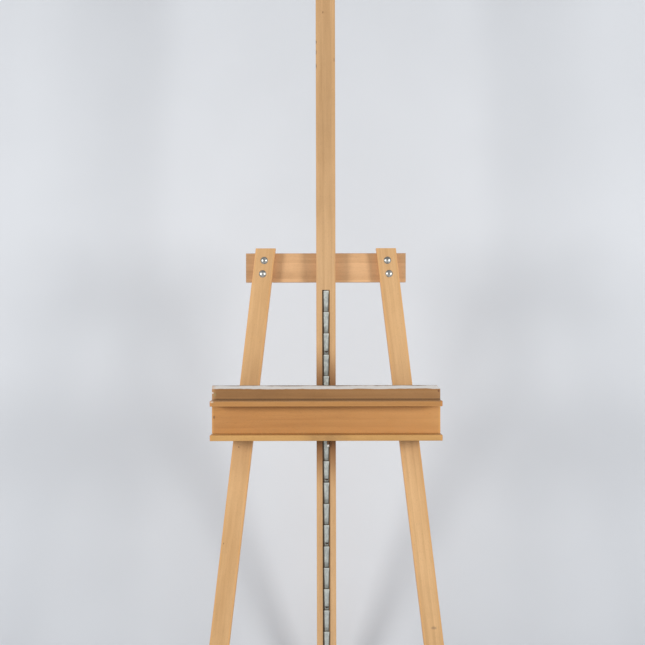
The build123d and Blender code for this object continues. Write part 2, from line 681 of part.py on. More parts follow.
def tray_cheek(side):
    shape = cheek(
        side, TRAY_CHEEK_THICKNESS, TRAY_BACK, TRAY_CHEEK_BOTTOM, TRAY_CHEEK_TOP,
        TRAY_KEEPER_MIDDLE, TRAY_SCREW_SIDE,
    )
    reach = CHEEK_INNER + PAWL_PIN_IN_CHEEK + CLEAR / 2
    return shape - rod_x(PAWL_PIN_RADIUS + FIT, -reach, reach, PAWL_PIVOT_Y, PAWL_PIVOT_Z)


def tray_keeper():
    half = CHEEK_INNER + TRAY_CHEEK_THICKNESS
    low = TRAY_KEEPER_MIDDLE - TRAY_KEEPER_HEIGHT / 2
    high = TRAY_KEEPER_MIDDLE + TRAY_KEEPER_HEIGHT / 2
    return keeper(half, TRAY_KEEPER_DEPTH, low, high, TRAY_KEEPER_MIDDLE, TRAY_SCREW_SIDE)


def tray_keeper_screws():
    places = keeper_screw_places(TRAY_SCREW_SIDE, TRAY_KEEPER_DEPTH, TRAY_KEEPER_MIDDLE)
    return group(place * wood_screw(TRAY_KEEPER_DEPTH + CARRIAGE_SCREW_GRIP) for place in places)


def runner_strip(side):
    """A hardwood strip behind the apron that slides on the mast's front face."""
    x0, x1 = sorted((side * RUNNER_INNER_EDGE, side * CHEEK_INNER))
    strip = block(x0, x1, TRAY_BACK, MAST_FRONT - RUNNER_PLAY, TRAY_CHEEK_BOTTOM, TRAY_CHEEK_TOP)
    return strip - rod_x(PAWL_PIN_RADIUS + FIT, x0 - CLEAR, x1 + CLEAR, PAWL_PIVOT_Y, PAWL_PIVOT_Z)


# ---- pawl
def pawl_pin():
    reach = CHEEK_INNER + PAWL_PIN_IN_CHEEK
    return rod_x(PAWL_PIN_RADIUS, -reach, reach, PAWL_PIVOT_Y, PAWL_PIVOT_Z)


def pawl_outline(ledge):
    """The pawl's arm from the side, its foot rising a little towards the mast so that it swings free."""
    front = PAWL_PIVOT_Y - PAWL_ARM_FRONT
    back = PAWL_PIVOT_Y + PAWL_ARM_BACK
    tip = MAST_FRONT + PAWL_FOOT_IN_GROOVE
    return Polyline(
        (front, PAWL_PIVOT_Z), (front, ledge - PAWL_ARM_BELOW_FOOT), (back, ledge - PAWL_ARM_BELOW_FOOT),
        (back, ledge), (tip, ledge + PAWL_FOOT_SLOPE), (tip - PAWL_FOOT_TAPER, ledge + PAWL_FOOT_HEIGHT),
        (back, ledge + PAWL_NECK_HEIGHT), (back, PAWL_PIVOT_Z), close=True,
    )


def pawl():
    """A steel lever: its foot rests on a tooth and its tail hangs through the tray's notch."""
    ledge = ENGAGED_LEDGE + PAWL_LEDGE_GAP
    side = Plane(origin=(0, 0, 0), x_dir=(0, 1, 0), z_dir=(1, 0, 0))
    lever = extrude(side * make_face(pawl_outline(ledge)), PAWL_WIDTH / 2, both=True)
    lever += rod_x(PAWL_BOSS_RADIUS, -PAWL_WIDTH / 2, PAWL_WIDTH / 2, PAWL_PIVOT_Y, PAWL_PIVOT_Z)
    tail = block(
        PAWL_TAIL_SIDE - PAWL_TAIL_WIDTH / 2, PAWL_TAIL_SIDE + PAWL_TAIL_WIDTH / 2,
        PAWL_PIVOT_Y - PAWL_ARM_FRONT, PAWL_PIVOT_Y + PAWL_ARM_BACK,
        TRAY_BOTTOM - PAWL_TAIL_BELOW_TRAY, ledge - PAWL_ARM_BELOW_FOOT + CLEAR,
    )
    lever += fillet(tail.edges().filter_by(Axis.X).group_by(Axis.Z)[0], PAWL_TAIL_ROUND)
    return lever - rod_x(PAWL_PIN_RADIUS + RUNNING_FIT, -PAWL_WIDTH, PAWL_WIDTH, PAWL_PIVOT_Y, PAWL_PIVOT_Z)


def pawl_spring():
    """A small torsion spring on the pivot pin: close turns, and a straight end against the apron."""
    section = Sketch() + [
        Pos(SPRING_SIDE + i * SPRING_PITCH, SPRING_RING_RADIUS) * Circle(SPRING_WIRE_RADIUS)
        for i in range(SPRING_TURNS)
    ]
    turns = Pos(0, PAWL_PIVOT_Y, PAWL_PIVOT_Z) * revolve(section, Axis.X)
    end_place = Pos(SPRING_SIDE, PAWL_PIVOT_Y - SPRING_RING_RADIUS, PAWL_PIVOT_Z - SPRING_END_LENGTH / 2)
    return turns + end_place * Cylinder(SPRING_END_RADIUS, SPRING_END_LENGTH)


# ---- canvas holder
def holder_board():
    """The holder's face board, in front of the mast."""
    half = HOLDER_WIDTH / 2
    bottom = HOLDER_BOTTOM + HOLDER_LIP_THICKNESS
    return board(
        -half, half, HOLDER_BACK - HOLDER_DEPTH, HOLDER_BACK, bottom, HOLDER_BOTTOM + HOLDER_HEIGHT
    )


def holder_lip():
    """The lip that hooks over the canvas's top edge."""
    half = HOLDER_WIDTH / 2
    front = HOLDER_BACK - HOLDER_DEPTH - HOLDER_LIP_REACH
    return board(-half, half, front, HOLDER_BACK, HOLDER_BOTTOM, HOLDER_BOTTOM + HOLDER_LIP_THICKNESS)


def holder_cheek(side):
    return cheek(
        side, HOLDER_CHEEK_THICKNESS, HOLDER_BACK, HOLDER_BOTTOM, HOLDER_BOTTOM + HOLDER_HEIGHT,
        HOLDER_MIDDLE, HOLDER_SCREW_SIDE,
    )


def holder_keeper():
    """The bar behind the mast, which carries the knob's threaded insert."""
    half = CHEEK_INNER + HOLDER_CHEEK_THICKNESS
    top = HOLDER_BOTTOM + HOLDER_HEIGHT
    bar = keeper(half, HOLDER_KEEPER_DEPTH, HOLDER_BOTTOM, top, HOLDER_MIDDLE, HOLDER_SCREW_SIDE)
    back = BACK_PLAY + HOLDER_KEEPER_DEPTH
    pad_room = PRESSURE_PAD_GAP + PRESSURE_PAD_THICKNESS + PRESSURE_PAD_PLAY
    bar -= rod_y(INSERT_RADIUS + FIT, back - INSERT_LENGTH, back + CLEAR, 0, HOLDER_MIDDLE)
    bar -= rod_y(PRESSURE_PAD_RADIUS + PRESSURE_PAD_PLAY, 0, pad_room, 0, HOLDER_MIDDLE)
    return bar - rod_y(BOLT_RADIUS + STUD_PLAY, 0, back + CLEAR, 0, HOLDER_MIDDLE)


def holder_keeper_screws():
    places = keeper_screw_places(HOLDER_SCREW_SIDE, HOLDER_KEEPER_DEPTH, HOLDER_MIDDLE)
    return group(place * wood_screw(HOLDER_KEEPER_DEPTH + CARRIAGE_SCREW_GRIP) for place in places)


def holder_insert():
    """The threaded brass insert in the holder's keeper."""
    back = BACK_PLAY + HOLDER_KEEPER_DEPTH
    sleeve = rod_y(INSERT_RADIUS, back - INSERT_LENGTH, back, 0, HOLDER_MIDDLE)
    return sleeve - rod_y(BOLT_RADIUS + RUNNING_FIT, 0, back + CLEAR, 0, HOLDER_MIDDLE)


def holder_knob():
    """A five-lobed hand knob."""
    start = BACK_PLAY + HOLDER_KEEPER_DEPTH + KNOB_STAND_OFF
    hub = Pos(0, 0, KNOB_HUB_LENGTH / 2) * Cylinder(KNOB_HUB_RADIUS, KNOB_HUB_LENGTH)
    outline = Circle(KNOB_RADIUS)
    for place in PolarLocations(KNOB_RADIUS, KNOB_LOBES):
        outline += place * Circle(KNOB_LOBE_RADIUS)
    head = extrude(outline, KNOB_THICKNESS)
    head = chamfer(head.faces().sort_by(Axis.Z)[-1].edges(), KNOB_EDGE)
    shape = hub + Pos(0, 0, KNOB_HUB_LENGTH) * head
    shape -= Cylinder(BOLT_RADIUS + FIT, 2 * KNOB_HUB_LENGTH + KNOB_THICKNESS)
    return facing_back(0, start, HOLDER_MIDDLE) * shape


def holder_knob_stud():
    """The knob's screw, from inside the knob to the pressure pad."""
    tip = PRESSURE_PAD_GAP + PRESSURE_PAD_THICKNESS
    end = BACK_PLAY + HOLDER_KEEPER_DEPTH + KNOB_STAND_OFF + KNOB_HUB_LENGTH + KNOB_THICKNESS / 2
    return rod_y(BOLT_RADIUS, tip, end, 0, HOLDER_MIDDLE)


def holder_pressure_pad():
    """The disc that the knob's screw presses on the mast."""
    tip = PRESSURE_PAD_GAP + PRESSURE_PAD_THICKNESS
    return rod_y(PRESSURE_PAD_RADIUS, PRESSURE_PAD_GAP, tip, 0, HOLDER_MIDDLE)


# ---- all the nodes
def leaned_nodes():
    """Every node of the front frame and what it carries, still upright."""
    return {
        "front_leg_left": front_leg(-1),
        "front_leg_right": front_leg(1),
        "upper_crossbar": upper_crossbar(),
        "lower_crossbar": crossbar(LOWER_BAR_LENGTH, LOWER_BAR_MIDDLE, LOWER_BAR_HEIGHT),
        "mast": mast(),
        "ratchet_rack": ratchet_rack(),
        "rack_screws": rack_screws(),
        "leg_bolts": leg_bolts(),
        "leg_bolt_washers": leg_bolt_washers(),
        "leg_bolt_nuts": leg_bolt_nuts(),
        "mast_screws": mast_screws(),
        "hinge_bracket": hinge_bracket(),
        "hinge_screws": hinge_screws(),
        "hinge_bolt": hinge_bolt(),
        "hinge_washer": hinge_washer(),
        "hinge_wing_nut": hinge_wing_nut(),
        "tray_top_shelf": tray_top_shelf(),
        "tray_apron": tray_apron(),
        "tray_bottom_shelf": tray_bottom_shelf(),
        "tray_back_rail": tray_back_rail(),
        "tray_shelf_screws": tray_shelf_screws(),
        "tray_cheek_left": tray_cheek(-1),
        "tray_cheek_right": tray_cheek(1),
        "tray_runner_left": runner_strip(-1),
        "tray_runner_right": runner_strip(1),
        "tray_keeper": tray_keeper(),
        "tray_keeper_screws": tray_keeper_screws(),
        "pawl_pin": pawl_pin(),
        "pawl_spring": pawl_spring(),
        "pawl": pawl(),
        "holder_board": holder_board(),
        "holder_lip": holder_lip(),
        "holder_cheek_left": holder_cheek(-1),
        "holder_cheek_right": holder_cheek(1),
        "holder_keeper": holder_keeper(),
        "holder_keeper_screws": holder_keeper_screws(),
        "holder_insert": holder_insert(),
        "holder_knob": holder_knob(),
        "holder_knob_stud": holder_knob_stud(),
        "holder_pressure_pad": holder_pressure_pad(),
    }


def all_nodes():
    """Every node where it stands."""
    nodes = {name: FRONT_FRAME * shape for name, shape in leaned_nodes().items()}
    nodes["front_foot_left"] = front_foot(-1)
    nodes["front_foot_right"] = front_foot(1)
    nodes["rear_leg"] = rear_leg()
    nodes["rear_leg_bush"] = rear_leg_bush()
    nodes["rear_foot"] = rear_foot()
    return nodes


os.makedirs("parts", exist_ok=True)
for node, shape in all_nodes().items():
    export_step(shape, f"parts/{node}.step")
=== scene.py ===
import json
import math

import bpy
from mathutils import Matrix, Vector


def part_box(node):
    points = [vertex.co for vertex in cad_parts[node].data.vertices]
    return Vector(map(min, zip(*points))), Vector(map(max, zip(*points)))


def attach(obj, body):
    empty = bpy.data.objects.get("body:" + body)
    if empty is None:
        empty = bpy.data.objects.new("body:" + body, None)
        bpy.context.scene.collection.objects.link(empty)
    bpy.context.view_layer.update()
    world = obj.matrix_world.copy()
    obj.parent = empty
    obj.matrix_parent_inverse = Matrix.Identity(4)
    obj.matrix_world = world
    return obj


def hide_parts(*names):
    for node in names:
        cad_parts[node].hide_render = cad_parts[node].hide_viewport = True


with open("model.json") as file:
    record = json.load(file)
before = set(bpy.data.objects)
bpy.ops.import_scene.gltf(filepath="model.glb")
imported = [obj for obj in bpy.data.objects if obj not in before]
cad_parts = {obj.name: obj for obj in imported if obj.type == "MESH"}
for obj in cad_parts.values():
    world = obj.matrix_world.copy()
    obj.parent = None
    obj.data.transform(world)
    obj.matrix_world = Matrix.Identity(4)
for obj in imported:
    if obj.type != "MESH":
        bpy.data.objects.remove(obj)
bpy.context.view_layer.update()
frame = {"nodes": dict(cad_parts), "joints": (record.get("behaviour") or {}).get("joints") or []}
nodes = frame["nodes"]

# ---- the front frame's own axes: x to the right, y to the back, z up along the leaning mast, in metres
JOINTS = {joint["name"]: joint for joint in frame["joints"]}
UP_THE_MAST = Vector(JOINTS["tray_slide"]["axis"])
LEAN = math.atan2(UP_THE_MAST.y, UP_THE_MAST.z)
LEG_SPLAY = math.radians(6.8)
REAR_LEG_ANGLE = math.radians(21.0)
LEG_DEPTH = 0.025
FOOT_LOW, FOOT_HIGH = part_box("front_foot_left")
FRAME_ORIGIN = Vector((0, (FOOT_LOW.y + FOOT_HIGH.y) / 2 + LEG_DEPTH / 2, 0))
FRONT_FRAME = Matrix.Translation(FRAME_ORIGIN) @ Matrix.Rotation(-LEAN, 4, "X")

# ---- where the parts' faces and edges lie in the front frame
MAST_FRONT = -0.035
MAST_HALF_WIDTH = 0.023
GROOVE_HALF_WIDTH = 0.009
GROOVE_DEPTH = 0.008
LEG_OFFSET_AT_FLOOR = 0.304
LEG_HALF_WIDTH = 0.0235
LEG_FRONT = -0.025
RACK_BOTTOM = 0.3255
TOOTH_PITCH = 0.0508
RACK_MIDDLE = 0.0008
RACK_STRIP_FRONT = -0.030
TRAY_BOTTOM = 0.890
PAWL_TAIL_END = 0.868
TRAY_HALF_LENGTH = 0.269
APRON_FRONT = -0.062
SHELF_FRONT = -0.112
SHELF_TOP = 0.9822
RAIL_TOP = 1.0152
RAIL_BEVEL_FOOT = 1.0072


# ---- colours
def seen(red, green, blue):
    """A display colour as the linear one that a shader takes, for values from 10 to 255."""
    return tuple(((c / 255 + 0.055) / 1.055) ** 2.4 for c in (red, green, blue)) + (1,)


def tinted(colour, amount):
    return tuple(amount * c for c in colour[:3]) + (1,)


# ---- node helpers
class Shader:
    """A material with a few short ways to add and join its nodes."""

    def __init__(self, name):
        self.material = bpy.data.materials.new(name)
        self.material.use_nodes = True
        self.tree = self.material.node_tree
        self.surface = self.tree.nodes["Principled BSDF"]

    def add(self, kind, **settings):
        node = self.tree.nodes.new(kind)
        for key, value in settings.items():
            setattr(node, key, value)
        return node

    def feed(self, socket, value):
        """Joins an output to a socket, or sets the socket's own constant."""
        if isinstance(value, (int, float, tuple)):
            socket.default_value = value
        elif value is not None:
            self.tree.links.new(value, socket)

    def place(self, rotation=(0, 0, 0), scale=(1, 1, 1), offset=(0, 0, 0), source=None):
        """Object coordinates, or the source, scaled, turned and then moved, in metres."""
        node = self.add("ShaderNodeMapping")
        for socket, value in (("Rotation", rotation), ("Scale", scale), ("Location", offset)):
            node.inputs[socket].default_value = value
        self.feed(node.inputs["Vector"], source or self.add("ShaderNodeTexCoord").outputs["Object"])
        return node.outputs["Vector"]

    def in_frame(self):
        """The front frame's x, y and z as three outputs."""
        split = self.add("ShaderNodeSeparateXYZ")
        origin = FRONT_FRAME.inverted().translation
        self.feed(split.inputs["Vector"], self.place(rotation=(LEAN, 0, 0), offset=tuple(origin)))
        return split.outputs["X"], split.outputs["Y"], split.outputs["Z"]

    def noise(self, vector, scale, detail=4.0, roughness=0.55):
        node = self.add("ShaderNodeTexNoise")
        for socket, value in (
            ("Scale", scale), ("Detail", detail), ("Roughness", roughness), ("Vector", vector),
        ):
            self.feed(node.inputs[socket], value)
        return node.outputs["Fac"]

    def spread(self, value, low, high, out_low=0.0, out_high=1.0):
        """A value between low and high, spread smoothly over the range out_low to out_high."""
        node = self.add("ShaderNodeMapRange", interpolation_type="SMOOTHSTEP")
        for socket, number in (
            ("From Min", low), ("From Max", high), ("To Min", out_low), ("To Max", out_high), ("Value", value)
        ):
            self.feed(node.inputs[socket], number)
        return node.outputs["Result"]

    def math(self, operation, first, second=None):
        node = self.add("ShaderNodeMath", operation=operation)
        self.feed(node.inputs[0], first)
        self.feed(node.inputs[1], second)
        return node.outputs["Value"]

    def times(self, *values):
        product = values[0]
        for value in values[1:]:
            product = self.math("MULTIPLY", product, value)
        return product

    def between(self, value, low, high, soft):
        """1 inside a range of the value, falling to 0 over a soft edge outside it."""
        rising = self.spread(value, low - soft, low)
        return self.times(rising, self.spread(value, high, high + soft, 1.0, 0.0))

    def mix(self, factor, first, second):
        """Blends two colours; 0, 6 and 7 are where a colour Mix node takes the factor and the two."""
        node = self.add("ShaderNodeMix", data_type="RGBA")
        for index, value in ((0, factor), (6, first), (7, second)):
            self.feed(node.inputs[index], value)
        return node.outputs[2]

    def bump(self, height, distance, strength=1.0, normal=None):
        node = self.add("ShaderNodeBump")
        for socket, value in (
            ("Distance", distance), ("Strength", strength), ("Height", height), ("Normal", normal),
        ):
            self.feed(node.inputs[socket], value)
        return node.outputs["Normal"]

    def mark(self, colour, front, centre, size, tint, strength):
        """A small blurred mark on a front face; size is its half extent along the frame's x and z."""
        x, y, z = self.in_frame()
        across = self.math("POWER", self.times(self.math("SUBTRACT", x, centre[0]), 1 / size[0]), 2)
        along = self.math("POWER", self.times(self.math("SUBTRACT", z, centre[1]), 1 / size[1]), 2)
        ragged = self.times(self.noise(self.place(), 0.35 / min(size), detail=3), 0.9)
        near = self.spread(self.math("ADD", self.math("ADD", across, along), ragged), 0.45, 1.45, 1.0, 0.0)
        shallow = self.spread(y, front + 0.002, front + 0.006, 1.0, 0.0)
        return self.mix(self.times(near, shallow, strength), colour, tint)

    def finish(self, colour, roughness, normal, metallic=0.0, specular=0.5, coat=0.0):
        for socket, value in (
            ("Base Color", colour), ("Roughness", roughness), ("Normal", normal), ("Metallic", metallic),
            ("Specular IOR Level", specular), ("Coat Weight", coat), ("Coat Roughness", 0.3),
        ):
            self.feed(self.surface.inputs[socket], value)
        return self.material


# ---- wood
ALONG_X = (LEAN, -math.pi / 2, 0)
ALONG_MAST = (LEAN, 0, 0)
LEFT_LEG_UP = (LEAN, -LEG_SPLAY, 0)
RIGHT_LEG_UP = (LEAN, LEG_SPLAY, 0)
REAR_LEG_UP = (-REAR_LEG_ANGLE, 0, 0)


def wood(name, pale, dark, grain, seed, contrast=0.5, dirt=0.2, specks=0.0, details=None, rough=0.42):
    """Varnished beech with its grain along one direction: rings, streaks, short flecks and handling marks."""
    s = Shader(name)
    turned = s.place(source=s.place(rotation=grain), offset=(0.31 * seed, 0.17 * seed, 0.23 * seed))
    lengthwise = s.place(scale=(1, 1, 0.05), source=turned)
    wave = s.add("ShaderNodeTexWave", wave_type="RINGS", rings_direction="Z", wave_profile="SAW")
    for socket, number in (("Scale", 17.0), ("Distortion", 4.0), ("Detail", 3.0), ("Detail Scale", 1.6)):
        wave.inputs[socket].default_value = number
    s.feed(wave.inputs["Vector"], lengthwise)
    rings = s.spread(wave.outputs["Fac"], 0.2, 1.0, 0.0, 0.35)
    streaks = s.noise(lengthwise, 230, detail=6, roughness=0.6)
    broad = s.noise(s.place(scale=(1, 1, 0.10), source=turned), 26, detail=3)
    flecks = s.spread(s.noise(s.place(scale=(1, 1, 0.16), source=turned), 1300, detail=1), 0.60, 0.72)
    tone = s.math("ADD", rings, s.spread(streaks, 0.3, 0.75, 0, 0.4))
    tone = s.math("ADD", tone, s.spread(broad, 0.3, 0.7, 0.0, 0.5))
    colour = s.mix(s.times(tone, contrast), pale, dark)
    colour = s.mix(s.times(flecks, 0.26), colour, tinted(dark, 0.6))
    smudges = s.spread(s.noise(turned, 8, detail=5, roughness=0.65), 0.50, 0.80)
    colour = s.mix(s.times(smudges, dirt), colour, tinted(dark, 0.62))
    spots = s.spread(s.noise(turned, 150, detail=2), 0.74, 0.77)
    colour = s.mix(s.times(spots, specks), colour, seen(84, 58, 36))
    if details is not None:
        colour = details(s, colour)
    facing = s.add("ShaderNodeSeparateXYZ")
    surface_normal = s.add("ShaderNodeTexCoord").outputs["Normal"]
    s.feed(facing.inputs["Vector"], s.place(rotation=grain, source=surface_normal))
    end_grain = s.spread(s.math("ABSOLUTE", facing.outputs["Z"]), 0.75, 0.92)
    colour = s.mix(s.times(end_grain, 0.7), colour, tinted(dark, 0.66))
    roughness = s.spread(s.noise(turned, 35, detail=4), 0.25, 0.75, rough - 0.07, rough + 0.12)
    pores = s.math("ADD", s.times(streaks, 0.6), s.times(flecks, -0.8))
    normal = s.bump(pores, 0.00012, 0.5)
    dents = s.spread(s.noise(turned, 70, detail=2), 0.66, 0.80, 0, -1)
    normal = s.bump(dents, 0.0004, 0.4, normal)
    return s.finish(colour, roughness, normal, specular=0.4, coat=0.06)


def golden_edges(s, colour, across, half_width, tint, strength):
    """More golden varnish along both long edges of a face."""
    near_edge = s.spread(s.math("ABSOLUTE", across), half_width - 0.0055, half_width - 0.0015)
    return s.mix(s.times(near_edge, strength), colour, tint)


def painted_tray_shadow(s, colour, z, strength):
    """Painted shadow: wood darkened just below and behind the tray, where the tray keeps the light off it."""
    shaded = s.between(z, TRAY_BOTTOM - 0.012, TRAY_BOTTOM + 0.110, 0.12)
    return s.mix(s.times(shaded, strength), colour, seen(132, 88, 50))


def leg_details(s, colour):
    """Golden edges, a painted shadow below and behind the tray, a grey smudge and two small knocks."""
    x, _, z = s.in_frame()
    # Painted shadow below and behind the tray.
    colour = painted_tray_shadow(s, colour, z, 0.22)
    across = s.math("ADD", s.math("ABSOLUTE", x), s.times(z, math.tan(LEG_SPLAY)))
    across = s.math("SUBTRACT", across, LEG_OFFSET_AT_FLOOR)
    colour = golden_edges(s, colour, across, LEG_HALF_WIDTH, seen(226, 164, 96), 0.38)
    colour = s.mark(colour, LEG_FRONT, (0.2574, 0.4330), (0.0085, 0.0048), seen(146, 116, 88), 0.65)
    colour = s.mark(colour, LEG_FRONT, (-0.246, 0.636), (0.0016, 0.0030), seen(104, 70, 42), 0.6)
    return s.mark(colour, LEG_FRONT, (-0.2093, 0.867), (0.0020, 0.0026), seen(96, 64, 38), 0.7)


def mast_details(s, colour):
    """Golden edges, a painted shadow below and behind the tray, a greyer middle, knocks by the left edge and
    painted shade in the rack's groove.
    """
    x, y, z = s.in_frame()
    colour = golden_edges(s, colour, x, MAST_HALF_WIDTH, seen(214, 158, 96), 0.3)
    # Painted shadow below and behind the tray, strongest on the mast.
    colour = painted_tray_shadow(s, colour, z, 0.95)
    handled = s.spread(z, 1.30, 1.60)
    middle = s.times(s.spread(s.math("ABSOLUTE", x), 0.004, 0.013, 0.30, 0.0), handled)
    colour = s.mix(middle, colour, seen(176, 136, 92))
    for height, length in ((1.832, 0.005), (1.808, 0.008), (1.775, 0.007)):
        colour = s.mark(colour, MAST_FRONT, (-0.0225, height), (0.0022, length), seen(104, 76, 48), 0.7)
    colour = s.mark(colour, MAST_FRONT, (-0.0060, 1.903), (0.0026, 0.0040), seen(126, 88, 50), 0.6)
    colour = s.mark(colour, MAST_FRONT, (0.0205, 1.790), (0.0020, 0.0070), seen(140, 98, 60), 0.5)
    # Painted shade in the rack's groove, dark on its left side and light on its right.
    in_groove = s.times(
        s.spread(s.math("ABSOLUTE", x), GROOVE_HALF_WIDTH, GROOVE_HALF_WIDTH + 0.0006, 1.0, 0.0),
        s.between(y, MAST_FRONT + 0.0012, MAST_FRONT + GROOVE_DEPTH + 0.001, 0.0006),
    )
    painted_recess_shade = s.spread(x, RACK_MIDDLE, RACK_MIDDLE + 0.004, 0.85, 0.10)
    return s.mix(s.times(in_groove, painted_recess_shade), colour, seen(52, 38, 27))


def rail_details(s, colour):
    """Old whitish paint on the rail's sloping top edge, painted shade in the corner below, a chip and some
    stains.
    """
    x, _, z = s.in_frame()
    ragged = s.spread(s.noise(s.place(scale=(0.25, 1, 1)), 60, detail=4), 0.25, 0.75, -0.0016, 0.0016)
    height = s.math("ADD", z, ragged)
    on_bevel = s.spread(height, RAIL_BEVEL_FOOT - 0.0006, RAIL_BEVEL_FOOT + 0.0006)
    worn_top = s.spread(height, RAIL_TOP - 0.0024, RAIL_TOP + 0.0006, 1.0, 0.45)
    thin = s.spread(s.noise(s.place(scale=(0.4, 1, 1)), 150, detail=5), 0.25, 0.5, 0.82, 1.0)
    colour = s.mix(s.times(on_bevel, worn_top, thin), colour, seen(212, 208, 203))
    dark_line = s.spread(height, RAIL_TOP - 0.0010, RAIL_TOP + 0.0002, 0.0, 0.75)
    colour = s.mix(dark_line, colour, seen(120, 104, 90))
    darker_left = s.spread(x, -TRAY_HALF_LENGTH, TRAY_HALF_LENGTH, 0.30, 0.0)
    bare = s.math("SUBTRACT", 1.0, on_bevel)
    colour = s.mix(s.times(darker_left, bare), colour, seen(112, 74, 30))
    # Painted shade in the corner where the rail meets the top shelf.
    painted_recess_shade = s.spread(z, SHELF_TOP, SHELF_TOP + 0.0045, 0.7, 0.0)
    colour = s.mix(painted_recess_shade, colour, seen(60, 46, 30))
    under_paint = s.between(z, RAIL_BEVEL_FOOT - 0.0035, RAIL_BEVEL_FOOT - 0.001, 0.001)
    colour = s.mix(s.times(under_paint, 0.35), colour, seen(150, 100, 48))
    pale_end = s.spread(x, -TRAY_HALF_LENGTH, -TRAY_HALF_LENGTH + 0.012, 0.5, 0.0)
    colour = s.mix(pale_end, colour, seen(206, 158, 110))
    colour = s.mark(colour, APRON_FRONT, (-0.262, 0.9945), (0.0035, 0.0060), seen(150, 142, 96), 0.5)
    colour = s.mark(colour, APRON_FRONT, (-0.2672, 0.9985), (0.0030, 0.0022), seen(232, 226, 218), 0.9)
    return s.mark(colour, APRON_FRONT, (0.2650, 1.0025), (0.0030, 0.0040), seen(96, 50, 30), 0.75)


def apron_details(s, colour):
    """Paler to the right, with golden ends and a dark bruise near the left one."""
    x, _, _ = s.in_frame()
    paler = s.spread(x, -TRAY_HALF_LENGTH, TRAY_HALF_LENGTH, 0.0, 0.35)
    colour = s.mix(paler, colour, seen(222, 167, 104))
    colour = golden_edges(s, colour, x, TRAY_HALF_LENGTH, seen(232, 172, 100), 0.4)
    return s.mark(colour, APRON_FRONT, (-0.2640, 0.9410), (0.0032, 0.0050), seen(110, 84, 60), 0.7)


def top_shelf_details(s, colour):
    """Grey wear along the upper front edge, a whitish drip and golden ends."""
    x, y, z = s.in_frame()
    near_top = s.spread(z, SHELF_TOP - 0.0030, SHELF_TOP - 0.0010)
    worn = s.times(near_top, s.noise(s.place(scale=(0.3, 1, 1)), 90))
    colour = s.mix(s.times(worn, 0.75), colour, seen(140, 112, 84))
    colour = s.mark(colour, SHELF_FRONT, (-0.2640, 0.9800), (0.0060, 0.0030), seen(226, 214, 196), 0.6)
    return golden_edges(s, colour, x, TRAY_HALF_LENGTH, seen(214, 140, 72), 0.55)


def bottom_shelf_details(s, colour):
    """A dull handled patch in the middle of the front edge, and golden ends."""
    x, _, z = s.in_frame()
    handled = s.between(x, -0.022, 0.020, 0.045)
    uneven = s.spread(s.noise(s.place(scale=(0.5, 1, 1)), 70, detail=4), 0.3, 0.7, 0.35, 1.0)
    colour = s.mix(s.times(handled, uneven, 0.55), colour, seen(150, 112, 72))
    return golden_edges(s, colour, x, TRAY_HALF_LENGTH, seen(220, 150, 70), 0.5)


# ---- metal, plastic and rubber
def steel(name, tint, rough, worn, rust=0.0, metallic=1.0, details=None):
    """Dull steel with bright scuffs, fine scratches and a little rust."""
    s = Shader(name)
    where = s.place(rotation=ALONG_MAST)
    patches = s.noise(where, 160, detail=5, roughness=0.65)
    colour = s.mix(s.spread(patches, 0.35, 0.7), tint, worn)
    rusty = s.spread(s.noise(where, 70, detail=6, roughness=0.7), 0.58, 0.74)
    colour = s.mix(s.times(rusty, rust), colour, seen(118, 80, 52))
    if details is not None:
        colour = details(s, colour)
    scratches = s.noise(s.place(scale=(1, 1, 0.06), source=where), 1800, detail=2)
    roughness = s.spread(patches, 0.25, 0.75, rough - 0.1, rough + 0.12)
    normal = s.bump(scratches, 0.00005, 0.5)
    normal = s.bump(patches, 0.0002, 0.35, normal)
    return s.finish(colour, roughness, normal, metallic=metallic)


def rack_details(s, colour):
    """Teeth worn bright and given a painted highlight along the top, darker low down, with painted shade on
    their right sides, on a greasy brown strip with painted shade on its left.
    """
    x, y, z = s.in_frame()
    teeth_up = s.times(s.math("SUBTRACT", z, RACK_BOTTOM), 1 / TOOTH_PITCH)
    phase = s.math("FRACT", teeth_up)
    wavy = s.spread(s.noise(s.place(), 120, detail=3), 0.3, 0.7, -0.05, 0.05)
    low = s.spread(s.math("ADD", phase, wavy), 0.10, 0.36, 0.5, 0.0)
    colour = s.mix(low, colour, seen(96, 94, 84))
    corner = s.spread(phase, 0.0, 0.055, 0.85, 0.0)
    colour = s.mix(corner, colour, seen(74, 56, 38))
    widening = s.spread(phase, 0.0, 0.75, 0.0028, 0.0038)
    bevel_edge = s.math("ADD", widening, s.spread(phase, 0.75, 1.0, 0.0, 0.0026))
    past_edge = s.math("SUBTRACT", s.math("SUBTRACT", x, RACK_MIDDLE), bevel_edge)
    # Painted shade on each tooth's right side.
    painted_right_shade = s.spread(past_edge, -0.0004, 0.0008, 0.0, 0.62)
    colour = s.mix(painted_right_shade, colour, seen(104, 106, 96))
    # Worn bright steel plus a painted highlight along each tooth's top, fading out towards the shaded right
    # side.
    bright = s.spread(phase, 0.90, 0.985, 0.0, 0.8)
    highlight_fades_right = s.spread(x, RACK_MIDDLE + 0.0045, RACK_MIDDLE + 0.0075, 1.0, 0.0)
    colour = s.mix(s.times(bright, highlight_fades_right), colour, seen(244, 246, 236))
    # Greasy brown on the strip, with painted shade making its left side darker than its right.
    strip = s.spread(y, RACK_STRIP_FRONT - 0.0003, RACK_STRIP_FRONT - 0.0001)
    grease_and_left_shade = s.mix(s.spread(x, 0.0, 0.004), seen(96, 70, 46), seen(182, 138, 98))
    return s.mix(s.times(strip, 0.9), colour, grease_and_left_shade)


